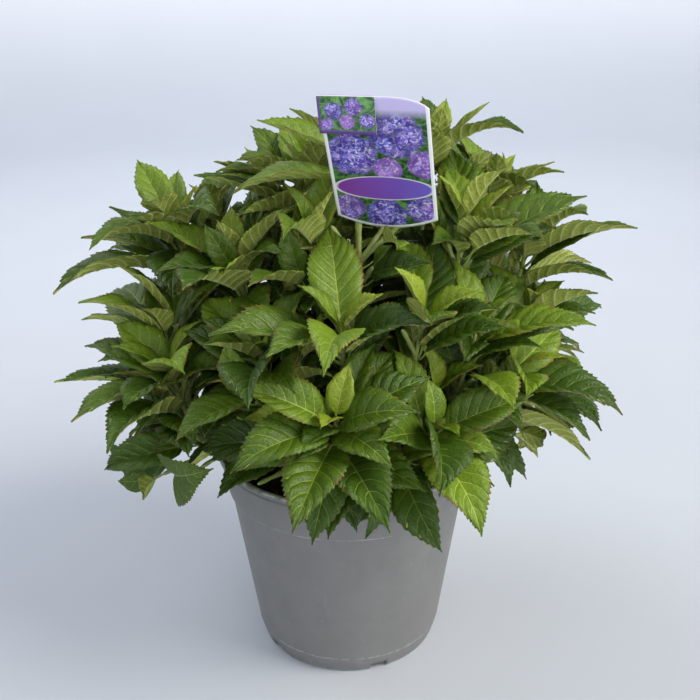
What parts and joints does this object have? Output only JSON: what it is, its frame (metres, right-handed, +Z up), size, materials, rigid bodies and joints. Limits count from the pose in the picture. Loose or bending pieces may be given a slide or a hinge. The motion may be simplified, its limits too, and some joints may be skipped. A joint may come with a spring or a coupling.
{
  "type": "potted hydrangea shrub",
  "caption": "Leafy bigleaf hydrangea shrub with no flowers, opposite toothed leaves on green canes, in a round grey nursery pot with a picture label hung at its front.",
  "frame": {"origin": "on the pot's axis at floor level, under the middle of the plant's bounding box", "axes": "+Z up; the front, where the label hangs, faces -Y; +X is the plant's right as seen from the front"},
  "size_m": [0.4736, 0.4654, 0.5117],
  "materials": {
    "pot": "satin grey injection-moulded plastic, lightly scuffed",
    "mix": "dark moist peat and bark crumbs",
    "bark": "pale brown flaking bark",
    "cane": "smooth green cane",
    "foliage": "satin leaf with sunk veins, paler underside",
    "label": "printed plastic sheet, white border"
  },
  "bodies": {
    "root": {"pot": "pot", "potting_mix": "mix", "crown": "bark", "label": "label", "cane_front_low": "cane", "cane_front_centre": "cane", "cane_front_right": "cane", "cane_centre_right": "cane", "cane_centre_left": "cane", "cane_left_low": "cane", "cane_left": "cane", "cane_left_back": "cane", "cane_left_high": "cane", "cane_left_top": "cane", "cane_top_left": "cane", "cane_top": "cane", "cane_top_front": "cane", "cane_top_label": "cane", "cane_top_right": "cane", "cane_right_high": "cane", "cane_right_high_back": "cane", "cane_right_back": "cane", "cane_right": "cane", "cane_right_low": "cane", "cane_right_front": "cane", "cane_back_left_low": "cane", "cane_back_left": "cane", "cane_back_low": "cane", "cane_back_high": "cane", "cane_back_right": "cane", "cane_back_right_low": "cane", "foliage_front_low": "foliage", "foliage_front_centre": "foliage", "foliage_front_right": "foliage", "foliage_centre_right": "foliage", "foliage_centre_left": "foliage", "foliage_left_low": "foliage", "foliage_left": "foliage", "foliage_left_back": "foliage", "foliage_left_high": "foliage", "foliage_left_top": "foliage", "foliage_top_left": "foliage", "foliage_top": "foliage", "foliage_top_front": "foliage", "foliage_top_label": "foliage", "foliage_top_right": "foliage", "foliage_right_high": "foliage", "foliage_right_high_back": "foliage", "foliage_right_back": "foliage", "foliage_right": "foliage", "foliage_right_low": "foliage", "foliage_right_front": "foliage", "foliage_back_left_low": "foliage", "foliage_back_left": "foliage", "foliage_back_low": "foliage", "foliage_back_high": "foliage", "foliage_back_right": "foliage", "foliage_back_right_low": "foliage"}
  },
  "joints": []
}
